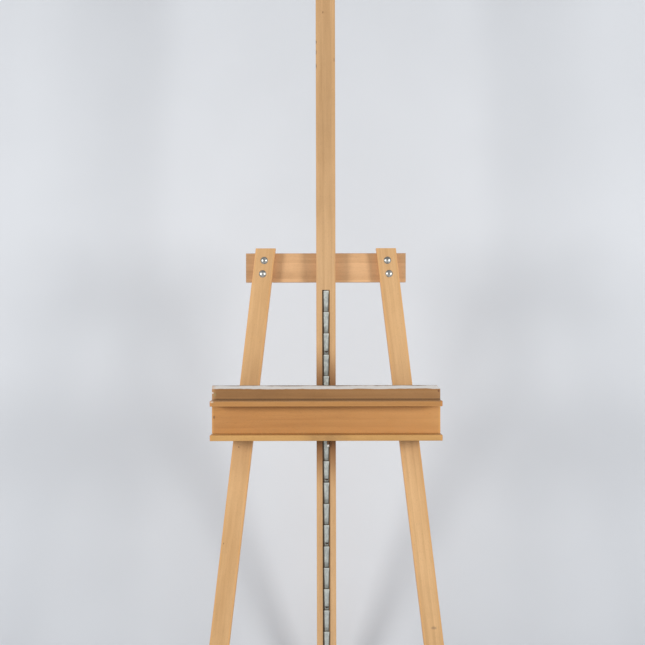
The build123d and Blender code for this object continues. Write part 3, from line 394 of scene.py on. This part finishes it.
def pawl_details(s, colour):
    """Rust over the pawl's tail, down to a painted glint low on it and a painted shadow along its lowest
    millimetre.
    """
    _, _, z = s.in_frame()
    ragged = s.spread(s.noise(s.place(), 300, detail=3), 0.3, 0.7, -0.0008, 0.0008)
    above_end = s.math("SUBTRACT", s.math("ADD", z, ragged), PAWL_TAIL_END)
    rusty = s.between(above_end, 0.0065, 0.034, 0.001)
    colour = s.mix(s.times(rusty, 0.9), colour, seen(124, 84, 46))
    # Painted glint a few millimetres above the tail's lowest point.
    painted_tip_glint = s.between(above_end, 0.0016, 0.0058, 0.0006)
    colour = s.mix(painted_tip_glint, colour, seen(252, 250, 244))
    # Painted shadow along the pawl's lowest millimetre.
    painted_end_shadow = s.spread(above_end, 0.0006, 0.0014, 0.85, 0.0)
    return s.mix(painted_end_shadow, colour, seen(104, 68, 40))


def moulded(name, tint, rough, grain_scale, grain_depth):
    """Black plastic or rubber with a fine moulded grain and some dust."""
    s = Shader(name)
    where = s.place()
    grain = s.noise(where, grain_scale, detail=3)
    dusty = s.spread(s.noise(where, 60, detail=4), 0.45, 0.75)
    colour = s.mix(s.times(dusty, 0.18), tint, seen(110, 104, 98))
    roughness = s.spread(grain, 0.3, 0.7, rough - 0.06, rough + 0.08)
    return s.finish(colour, roughness, s.bump(grain, grain_depth, 0.6))


# ---- which material goes where
LEG_TONES = dict(
    pale=seen(226, 182, 130), dark=seen(186, 140, 88), contrast=0.6, dirt=0.16, details=leg_details,
)
BAR_TONES = dict(pale=seen(226, 180, 132), dark=seen(180, 134, 90), contrast=0.6)
TRAY_TONES = dict(pale=seen(198, 143, 83), dark=seen(160, 108, 58), contrast=0.5)
CARRIAGE_TONES = dict(pale=seen(214, 166, 116), dark=seen(168, 122, 78), contrast=0.6)


def node_materials():
    """Each CAD node's material, keyed by the node's name."""
    chosen = {
        "front_leg_left": wood("leg_left_beech", grain=LEFT_LEG_UP, seed=1, **LEG_TONES),
        "front_leg_right": wood("leg_right_beech", grain=RIGHT_LEG_UP, seed=2, **LEG_TONES),
        "rear_leg": wood("rear_leg_beech", grain=REAR_LEG_UP, seed=3, **BAR_TONES),
        "mast": wood(
            "mast_beech", seen(216, 174, 126), seen(172, 130, 84), ALONG_MAST, 4,
            contrast=0.55, specks=0.2, details=mast_details,
        ),
        "upper_crossbar": wood("upper_crossbar_beech", grain=ALONG_X, seed=5, **BAR_TONES),
        "lower_crossbar": wood("lower_crossbar_beech", grain=ALONG_X, seed=6, **BAR_TONES),
        "tray_apron": wood("apron_beech", grain=ALONG_X, seed=7, details=apron_details, **TRAY_TONES),
        "tray_top_shelf": wood(
            "top_shelf_beech", seen(192, 138, 79), seen(156, 106, 56), ALONG_X, 8,
            contrast=0.5, details=top_shelf_details,
        ),
        "tray_bottom_shelf": wood(
            "bottom_shelf_beech", seen(208, 159, 95), seen(175, 129, 74), ALONG_X, 9,
            contrast=0.5, details=bottom_shelf_details,
        ),
        "tray_back_rail": wood(
            "rail_old_beech", seen(172, 128, 80), seen(138, 97, 56), ALONG_X, 10,
            contrast=0.5, dirt=0.4, details=rail_details, rough=0.5,
        ),
    }
    rack_steel = steel(
        "rack_cast_steel", seen(214, 217, 208), 0.45, seen(228, 230, 221), rust=0.06, details=rack_details,
    )
    old_screws = steel(
        "dark_old_screws", seen(54, 40, 29), 0.65, seen(72, 55, 40), rust=0.3, metallic=0.0,
    )
    hinge_steel = steel("hinge_plate_steel", seen(150, 150, 146), 0.40, seen(186, 186, 182), rust=0.15)
    pawl_steel = steel(
        "pawl_steel", seen(140, 138, 130), 0.4, seen(196, 194, 186), metallic=0.6, details=pawl_details,
    )
    shared = {
        wood("carriage_beech_along", grain=ALONG_X, seed=11, **CARRIAGE_TONES): (
            "tray_keeper", "holder_board", "holder_lip", "holder_keeper",
        ),
        wood("carriage_beech_up", grain=ALONG_MAST, seed=12, **CARRIAGE_TONES): (
            "tray_cheek_left", "tray_cheek_right", "tray_runner_left", "tray_runner_right",
            "holder_cheek_left", "holder_cheek_right",
        ),
        rack_steel: ("ratchet_rack",),
        old_screws: ("rack_screws",),
        steel("zinc_fasteners", seen(176, 174, 166), 0.36, seen(206, 205, 199), rust=0.12): (
            "leg_bolts", "leg_bolt_washers", "leg_bolt_nuts", "mast_screws", "hinge_screws", "hinge_bolt",
            "hinge_washer", "hinge_wing_nut", "tray_shelf_screws", "tray_keeper_screws",
            "holder_keeper_screws", "holder_knob_stud", "holder_pressure_pad", "pawl_pin", "pawl_spring",
            "rear_leg_bush",
        ),
        hinge_steel: ("hinge_bracket",),
        pawl_steel: ("pawl",),
        steel("insert_brass", seen(196, 164, 96), 0.32, seen(220, 190, 122)): ("holder_insert",),
        moulded("knob_black_plastic", seen(32, 32, 33), 0.42, 900, 0.00004): ("holder_knob",),
        moulded("foot_black_rubber", seen(42, 42, 42), 0.75, 600, 0.0001): (
            "front_foot_left", "front_foot_right", "rear_foot",
        ),
    }
    for material, names in shared.items():
        chosen.update({name: material for name in names})
    return chosen


def dress_nodes():
    """Gives every CAD node its material."""
    chosen = node_materials()
    for name, node in nodes.items():
        for slot in node.material_slots:
            slot.link = "OBJECT"
            slot.material = chosen[name]


EASED_EDGES = {"tray_apron": 0.0008, "tray_back_rail": 0.0006, "hinge_bracket": 0.0004, "pawl": 0.0004}


def ease_edges(name, width):
    """Rounds a CAD node's sharp edges a little."""
    node = nodes[name]
    weld = node.modifiers.new("weld", "WELD")
    weld.merge_threshold = 0.00001
    bevel = node.modifiers.new("ease", "BEVEL")
    bevel.width = width
    bevel.segments = 2
    bevel.limit_method = "ANGLE"
    bevel.angle_limit = math.radians(35)


def soften(name, voxel, passes):
    """Turns a CAD node's hard joins into the flowing ones of a casting."""
    node = nodes[name]
    skin = node.modifiers.new("skin", "REMESH")
    skin.mode = "VOXEL"
    skin.voxel_size = voxel
    flow = node.modifiers.new("flow", "SMOOTH")
    flow.iterations = passes
    flow.factor = 0.5


# ---- the steel pieces made here: bolt threads and the pawl's spring, placed in the front frame
LEG_BOLT_MIDDLES = (0.280, 1.297)
LEG_BOLT_SPREAD = 0.032
LEG_BOLT_NUT_BACK = 0.0301
LEG_BOLT_TAIL = 0.0025
HINGE_Y = 0.049
HINGE_Z = 1.297
HINGE_THREAD_START = 0.0355
HINGE_THREAD_LENGTH = 0.0044
BOLT_RADIUS = 0.004
THREAD_PITCH = 0.00125
THREAD_RISE = 0.0003
THREAD_STEPS = 24
PAWL_PIVOT = Vector((0, -0.040, 0.9750))
SPRING_RADIUS = 0.0030
SPRING_WIRE = 0.00045
SPRING_SIDE = 0.0062
SPRING_PITCH = 0.00095
SPRING_TURNS = 2.25
SPRING_END = 0.0118


def thread_ridge(start, along, length):
    """The points and faces of a pointed ridge that winds round a bolt from a point in the front frame."""
    side = along.orthogonal().normalized()
    other = along.cross(side)
    steps = int(length / THREAD_PITCH * THREAD_STEPS)
    points = []
    for step in range(steps + 1):
        turn = 2 * math.pi * step / THREAD_STEPS
        outward = math.cos(turn) * side + math.sin(turn) * other
        middle = start + along * (length * step / steps)
        fade = min(1, 4 * step / steps, 4 * (1 - step / steps))
        root = outward * (BOLT_RADIUS - THREAD_RISE / 2)
        crest = outward * (BOLT_RADIUS + THREAD_RISE * (2 * fade - 1))
        half = along * (0.42 * THREAD_PITCH)
        points += [middle + root - half, middle + crest, middle + root + half]
    faces = [(0, 1, 2), (3 * steps + 2, 3 * steps + 1, 3 * steps)]
    for step in range(steps):
        low = 3 * step
        faces += [(low + i, low + (i + 1) % 3, low + 3 + (i + 1) % 3, low + 3 + i) for i in range(3)]
    return [tuple(FRONT_FRAME @ point) for point in points], [face[::-1] for face in faces]


def threads(name, body, starts, along, length, material):
    """The screw threads on a group of bolt ends."""
    points, faces = [], []
    for start in starts:
        ridge_points, ridge_faces = thread_ridge(start, along, length)
        faces += [tuple(len(points) + i for i in face) for face in ridge_faces]
        points += ridge_points
    mesh = bpy.data.meshes.new(name)
    mesh.from_pydata(points, [], faces)
    mesh.materials.append(material)
    piece = bpy.data.objects.new(name, mesh)
    bpy.context.collection.objects.link(piece)
    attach(piece, body)


def leg_bolt_ends():
    """Where the thread starts behind each leg bolt's nut."""
    heights = [middle + step * LEG_BOLT_SPREAD / 2 for middle in LEG_BOLT_MIDDLES for step in (-1, 1)]
    reach = [LEG_OFFSET_AT_FLOOR - height * math.tan(LEG_SPLAY) for height in heights]
    return [Vector((side * x, LEG_BOLT_NUT_BACK, z)) for side in (-1, 1) for x, z in zip(reach, heights)]


def wound_spring(material):
    """The pawl's torsion spring as one wound wire: a straight end, and the turns round the pin."""
    steps = int(SPRING_TURNS * THREAD_STEPS)
    places = []
    for share in (1, 0.75, 0.5, 0.25):
        places.append(Vector((SPRING_SIDE, -SPRING_RADIUS, -SPRING_END * share)))
    for step in range(steps + 1):
        turn = 2 * math.pi * step / THREAD_STEPS
        x = SPRING_SIDE + SPRING_PITCH * step / THREAD_STEPS
        places.append(Vector((x, -SPRING_RADIUS * math.cos(turn), SPRING_RADIUS * math.sin(turn))))
    curve = bpy.data.curves.new("pawl_spring_wire", "CURVE")
    curve.dimensions = "3D"
    curve.bevel_depth = SPRING_WIRE
    curve.bevel_resolution = 3
    curve.use_fill_caps = True
    spline = curve.splines.new("POLY")
    spline.points.add(len(places) - 1)
    for point, place in zip(spline.points, places):
        point.co = (*(FRONT_FRAME @ (PAWL_PIVOT + place)), 1)
    curve.materials.append(material)
    spring = bpy.data.objects.new("pawl_spring_wire", curve)
    bpy.context.collection.objects.link(spring)
    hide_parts("pawl_spring")
    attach(spring, "tray")


def add_small_steel():
    bright = nodes["leg_bolts"].material_slots[0].material
    threads("leg_bolt_threads", "frame", leg_bolt_ends(), Vector((0, 1, 0)), LEG_BOLT_TAIL, bright)
    hinge_end = Vector((HINGE_THREAD_START, HINGE_Y, HINGE_Z))
    threads("hinge_bolt_thread", "frame", [hinge_end], Vector((1, 0, 0)), HINGE_THREAD_LENGTH, bright)
    wound_spring(bright)


# ---- stage, lights and camera
WALL_Y = 0.447
STAGE_SIZE = 16.0


def flat_mesh(name, corners, material):
    mesh = bpy.data.meshes.new(name)
    mesh.from_pydata(corners, [], [tuple(range(len(corners)))])
    mesh.materials.append(material)
    obj = bpy.data.objects.new(name, mesh)
    bpy.context.collection.objects.link(obj)


def painted(name, low, high, one_sided=False):
    """Flat paint, slightly uneven; the one-sided kind is clear from behind."""
    s = Shader(name)
    colour = s.mix(s.spread(s.noise(s.place(), 1.3, detail=3), 0.3, 0.7), low, high)
    s.finish(colour, 0.85, None, specular=0.2)
    if one_sided:
        clear = s.add("ShaderNodeBsdfTransparent")
        sides = s.add("ShaderNodeMixShader")
        s.feed(sides.inputs["Fac"], s.add("ShaderNodeNewGeometry").outputs["Backfacing"])
        s.feed(sides.inputs[1], s.surface.outputs["BSDF"])
        s.feed(sides.inputs[2], clear.outputs["BSDF"])
        s.feed(s.tree.nodes["Material Output"].inputs["Surface"], sides.outputs["Shader"])
    return s.material


def make_stage():
    """A grey floor, and a pale wall that only shows from its front."""
    half = STAGE_SIZE / 2
    floor_paint = painted("floor_paint", seen(213, 215, 218), seen(220, 222, 225))
    wall_paint = painted("wall_paint", seen(225, 227, 230), seen(230, 232, 235), one_sided=True)
    floor_corners = [(-half, -half, 0), (half, -half, 0), (half, half, 0), (-half, half, 0)]
    wall_corners = [(-half, WALL_Y, 0), (half, WALL_Y, 0), (half, WALL_Y, half), (-half, WALL_Y, half)]
    flat_mesh("floor", floor_corners, floor_paint)
    flat_mesh("wall", wall_corners, wall_paint)


LAMP_SIDE = 1.95
LAMP_Y = -2.13
LAMP_HEIGHT = 1.52
LAMP_SIZE = 0.80
LAMP_POWER = 38.5
LAMP_TARGET = Vector((0, -0.1, 1.25))
ROOM_LIGHT = 0.386


def make_lights():
    """Two soft lamps, one each side of the camera, and an even room light."""
    for name, side in (("left_lamp", -1), ("right_lamp", 1)):
        light = bpy.data.lights.new(name, "AREA")
        light.shape = "DISK"
        light.size = LAMP_SIZE
        light.energy = LAMP_POWER
        lamp = bpy.data.objects.new(name, light)
        lamp.location = (side * LAMP_SIDE, LAMP_Y, LAMP_HEIGHT)
        towards = LAMP_TARGET - lamp.location
        lamp.rotation_euler = towards.to_track_quat("-Z", "Y").to_euler()
        bpy.context.collection.objects.link(lamp)
    world = bpy.data.worlds.new("room")
    world.use_nodes = True
    background = world.node_tree.nodes["Background"]
    background.inputs["Color"].default_value = seen(236, 240, 246)
    background.inputs["Strength"].default_value = ROOM_LIGHT
    bpy.context.scene.world = world


CAMERA_DISTANCE = 2.448
CAMERA_HEIGHT = 1.1344
CAMERA_ROLL = math.radians(-0.12)
CAMERA_LENS = 56.54
CAMERA_SHIFT = (-0.0054, 0.0194)


def make_camera():
    """A camera square to the mast, level with the middle of the canvas space."""
    data = bpy.data.cameras.new("camera")
    data.lens = CAMERA_LENS
    data.sensor_width = 36.0
    data.shift_x, data.shift_y = CAMERA_SHIFT
    camera = bpy.data.objects.new("camera", data)
    level = Matrix.Rotation(math.pi / 2, 4, "X") @ Matrix.Rotation(CAMERA_ROLL, 4, "Z")
    camera.matrix_world = FRONT_FRAME @ Matrix.Translation((0, -CAMERA_DISTANCE, CAMERA_HEIGHT)) @ level
    bpy.context.collection.objects.link(camera)
    bpy.context.scene.camera = camera


bpy.context.scene.view_settings.view_transform = "Standard"
make_camera()
make_lights()
make_stage()
dress_nodes()
for name, width in EASED_EDGES.items():
    ease_edges(name, width)
soften("hinge_wing_nut", 0.0006, 6)
add_small_steel()
